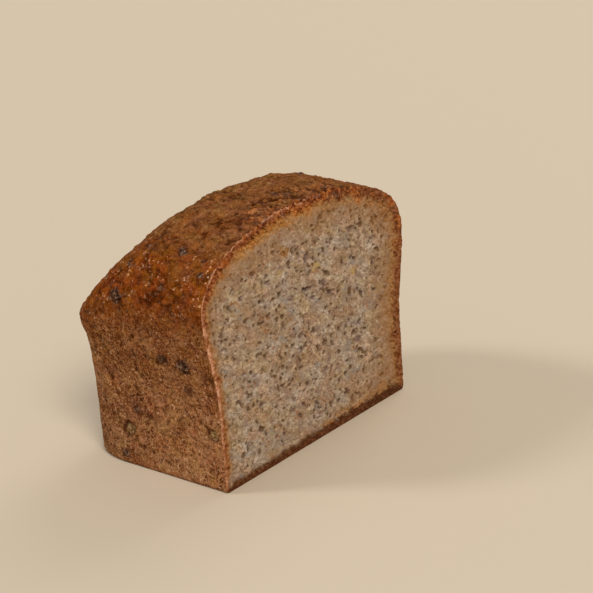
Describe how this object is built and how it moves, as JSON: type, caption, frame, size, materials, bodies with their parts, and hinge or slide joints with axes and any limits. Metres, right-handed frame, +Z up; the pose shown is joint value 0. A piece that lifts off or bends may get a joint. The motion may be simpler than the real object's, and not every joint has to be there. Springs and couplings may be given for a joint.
{
  "type": "wholegrain spelt bread loaf",
  "caption": "End piece of a tin-baked wholegrain spelt loaf with a domed brown crust, rounded baked end and a flat knife cut that shows the crumb.",
  "frame": {"origin": "centre of the footprint, on the underside the loaf stands on", "axes": "+Z up, X along the loaf with the cut face looking along +X and the baked end along -X, Y across the loaf"},
  "size_m": [0.0674, 0.1132, 0.0912],
  "materials": {
    "bread": "matte"
  },
  "bodies": {
    "root": {"loaf": "bread"}
  },
  "joints": []
}
